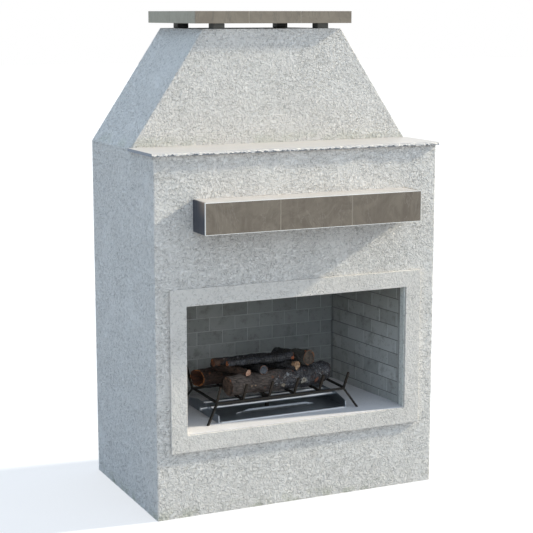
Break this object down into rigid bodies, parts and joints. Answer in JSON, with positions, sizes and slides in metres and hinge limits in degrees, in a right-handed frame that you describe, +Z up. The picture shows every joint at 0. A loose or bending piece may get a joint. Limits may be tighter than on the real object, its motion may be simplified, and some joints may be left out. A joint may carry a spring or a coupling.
{
  "type": "outdoor fireplace",
  "caption": "Free-standing stuccoed outdoor gas fireplace with a tapered chimney, tiled cap, tiled mantel, brick-lined firebox, burner pan and log grate.",
  "frame": {"origin": "on the floor, at the middle of the whole fireplace's bounding box seen from above", "axes": "+X to the right seen from the front, +Y to the back, +Z up the chimney; the firebox opens towards -Y"},
  "size_m": [1.548, 1.093, 2.4303],
  "materials": {
    "stucco": "matte",
    "smooth_stucco": "matte",
    "ledge_stone": "satin",
    "board": "matte",
    "frame_steel": "satin",
    "stud_steel": "satin",
    "dark_tile": "satin",
    "pale_tile": "satin",
    "edge_trim": "satin",
    "dark_post": "matte",
    "fire_brick": "matte",
    "hearth": "matte",
    "duct_steel": "satin",
    "polished_pan": "polished",
    "burner_steel": "satin",
    "pipe_iron": "matte",
    "valve_brass": "satin",
    "lever_paint": "satin",
    "door_steel": "satin",
    "grate_iron": "matte",
    "log_bark": "matte",
    "log_char": "matte"
  },
  "bodies": {
    "fireplace": {"front_panel": "stucco", "left_panel": "stucco", "right_panel": "stucco", "back_panel": "stucco", "chimney_front": "stucco", "chimney_back": "stucco", "chimney_left": "stucco", "chimney_right": "stucco", "opening_surround": "smooth_stucco", "opening_liner": "smooth_stucco", "ledge_slab": "ledge_stone", "body_deck": "board", "chimney_crown": "board", "cap_core": "board", "mantel_core": "board", "base_skid": "frame_steel", "stud_frame": "stud_steel", "cap_front_tile_1": "dark_tile", "cap_front_tile_2": "dark_tile", "cap_front_tile_3": "dark_tile", "cap_side_tiles": "dark_tile", "mantel_front_tile_1": "dark_tile", "mantel_front_tile_2": "dark_tile", "mantel_front_tile_3": "dark_tile", "mantel_left_tile": "dark_tile", "mantel_right_tile": "dark_tile", "mantel_bottom_tile": "dark_tile", "mantel_top_tile": "pale_tile", "cap_top_tiles": "pale_tile", "mantel_trim": "edge_trim", "cap_post_front_left": "dark_post", "cap_post_front_right": "dark_post", "cap_post_back_left": "dark_post", "cap_post_back_right": "dark_post", "firebox_back": "fire_brick", "firebox_left": "fire_brick", "firebox_right": "fire_brick", "firebox_lintel": "fire_brick", "hearth_slab": "hearth", "smoke_dome": "duct_steel", "flue_pipe": "duct_steel", "burner_pan": "polished_pan", "burner_tube_front": "burner_steel", "burner_tube_rear": "burner_steel", "burner_manifold": "pipe_iron", "gas_inlet_pipe": "pipe_iron", "gas_valve": "valve_brass", "service_frame": "door_steel"},
    "log_set": {"log_grate": "grate_iron", "front_log": "log_bark", "back_log": "log_bark", "left_branch": "log_bark", "middle_branch": "log_char", "right_branch": "log_char"},
    "upper_log": {"upper_log": "log_char"},
    "charred_log": {"charred_log": "log_char"},
    "stubby_log": {"stubby_log": "log_char"},
    "service_door": {"service_door": "door_steel"},
    "valve_lever": {"gas_valve_lever": "lever_paint"}
  },
  "joints": [
    {"name": "log_set_lift", "type": "slide", "parent": "fireplace", "child": "log_set", "axis": [0, 0, 1], "range_m": [0, 0.15]},
    {"name": "upper_log_lift", "type": "slide", "parent": "log_set", "child": "upper_log", "axis": [0, 0, 1], "range_m": [0, 0.12]},
    {"name": "charred_log_lift", "type": "slide", "parent": "log_set", "child": "charred_log", "axis": [0, 0, 1], "range_m": [0, 0.12]},
    {"name": "stubby_log_lift", "type": "slide", "parent": "log_set", "child": "stubby_log", "axis": [0, 0, 1], "range_m": [0, 0.12]},
    {"name": "service_door_hinge", "type": "hinge", "parent": "fireplace", "child": "service_door", "pos_m": [-0.2056, 0.51305, 0.202], "axis": [0, 0, 1], "range_deg": [0, 110]},
    {"name": "gas_valve_turn", "type": "hinge", "parent": "fireplace", "child": "valve_lever", "pos_m": [0.08, 0.40635, 0.2105], "axis": [0, 0, 1], "range_deg": [0, 90]}
  ]
}
